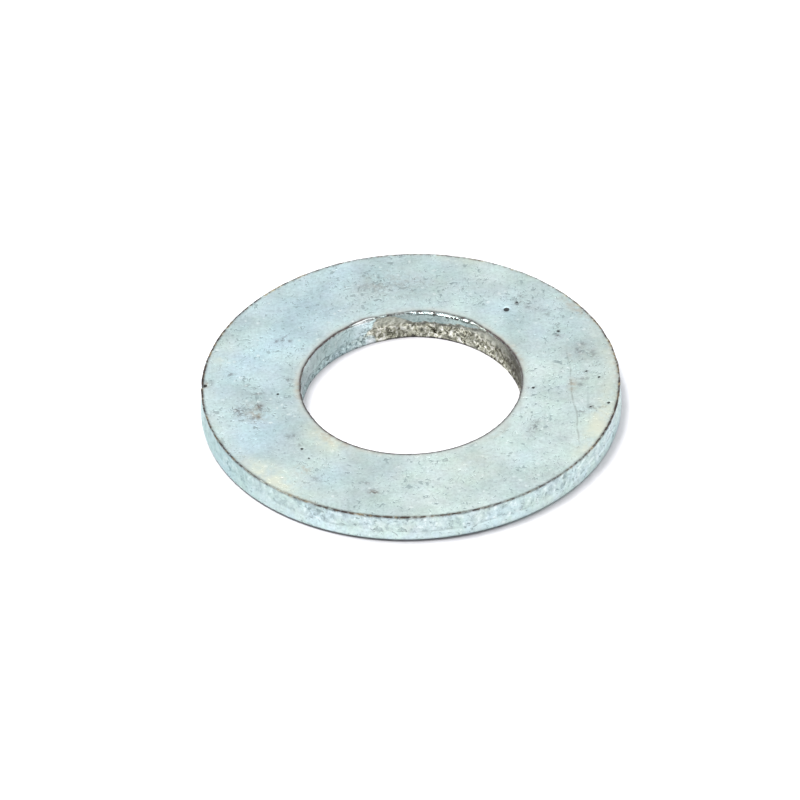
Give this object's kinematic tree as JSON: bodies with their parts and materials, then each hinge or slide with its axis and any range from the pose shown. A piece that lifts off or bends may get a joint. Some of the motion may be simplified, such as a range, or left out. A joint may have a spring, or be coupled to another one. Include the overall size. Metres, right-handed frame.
{
  "type": "flat washer",
  "caption": "Plain flat steel washer, narrow pattern: a stamped ring that spreads the load of a bolt head or nut.",
  "frame": {"origin": "centre of the hole at the bottom face, where the washer lies on the floor", "axes": "+Z along the hole's axis, up out of the face that the punch entered; X and Y are any two directions in the plane of the ring"},
  "size_m": [0.0254, 0.0254, 0.0018],
  "materials": {
    "zinc_plated_steel": "satin, bright zinc plating with a pale blue tint"
  },
  "bodies": {
    "root": {"washer": "zinc_plated_steel"}
  },
  "joints": []
}
